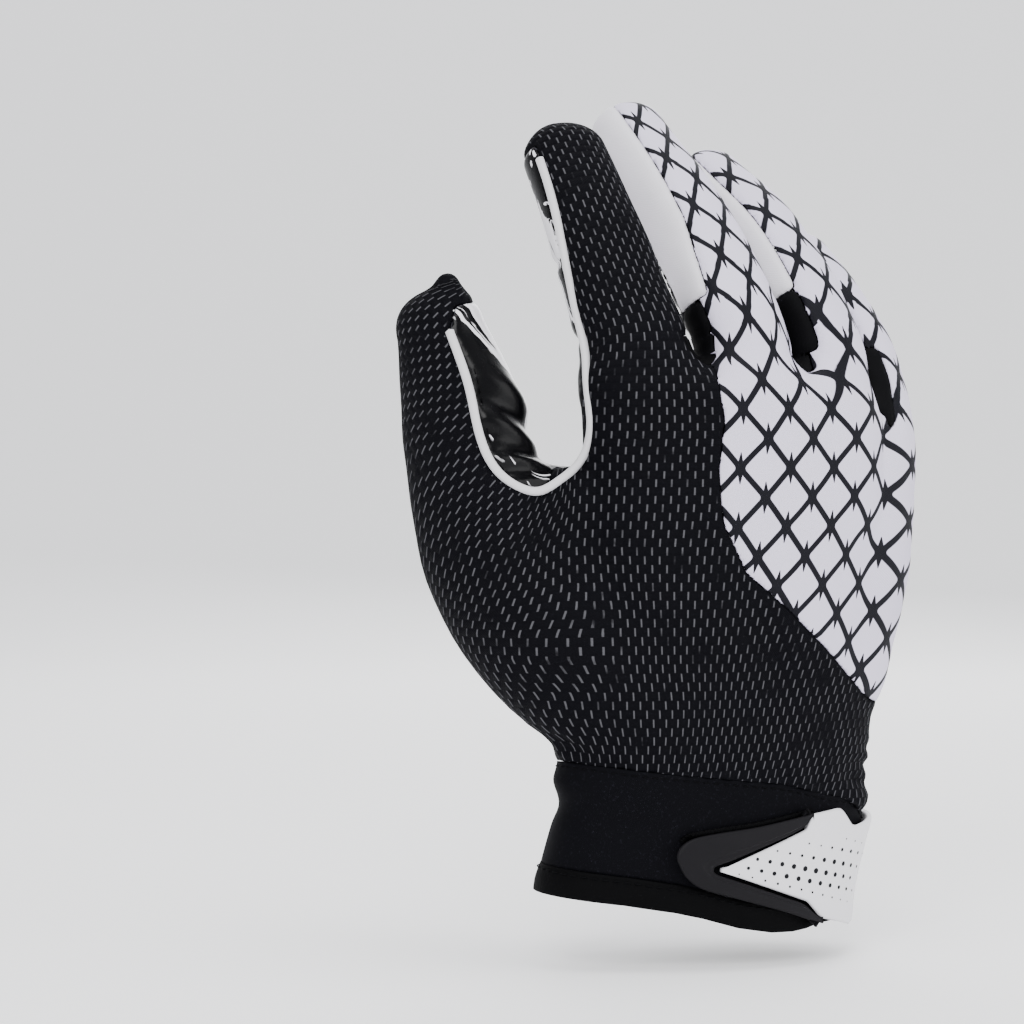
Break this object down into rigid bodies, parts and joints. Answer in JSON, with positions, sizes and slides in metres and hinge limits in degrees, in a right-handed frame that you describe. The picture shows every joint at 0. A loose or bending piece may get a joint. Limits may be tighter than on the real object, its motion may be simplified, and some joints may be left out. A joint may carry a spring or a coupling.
{
  "type": "football glove",
  "caption": "Right-hand receiver glove in worn shape, with a mesh and printed stretch back, coated palm, white finger sides and a wrapped rubber wrist strap.",
  "frame": {"origin": "centre of the wrist opening at the level of the hem", "axes": "+Z toward the fingers, -Y out of the back of the hand, -X toward the thumb"},
  "size_m": [0.1372, 0.0714, 0.2081],
  "materials": {
    "knit_black": "black knitted mesh with short light dashes",
    "knit_white": "smooth stretch cloth, pale lilac white with a dark diamond net",
    "palm": "glossy coated palm, black with pale streaks",
    "piping": "pale edge binding",
    "neoprene": "smooth black foam-backed knit",
    "hem": "black binding with a row of stitches",
    "strap": "white moulded rubber with small round recesses",
    "strap_base": "dark grey moulded rubber",
    "webbing": "grey woven tape",
    "side_cloth": "smooth white stretch cloth",
    "insert_cloth": "black stretch cloth"
  },
  "bodies": {
    "root": {"back_mesh": "knit_black", "back_print": "knit_white", "palm_panel": "palm", "piping": "piping", "cuff": "neoprene", "cuff_hem": "hem", "strap": "strap", "strap_base": "strap_base", "pull_tab": "webbing", "gusset_index_ulnar": "side_cloth", "gusset_middle_radial": "side_cloth", "gusset_middle_ulnar": "side_cloth", "gusset_ring_radial": "side_cloth", "gusset_ring_ulnar": "side_cloth", "gusset_pinky_radial": "side_cloth", "web_insert_index_middle": "insert_cloth", "web_insert_middle_ring": "insert_cloth", "web_insert_ring_pinky": "insert_cloth"}
  },
  "joints": []
}
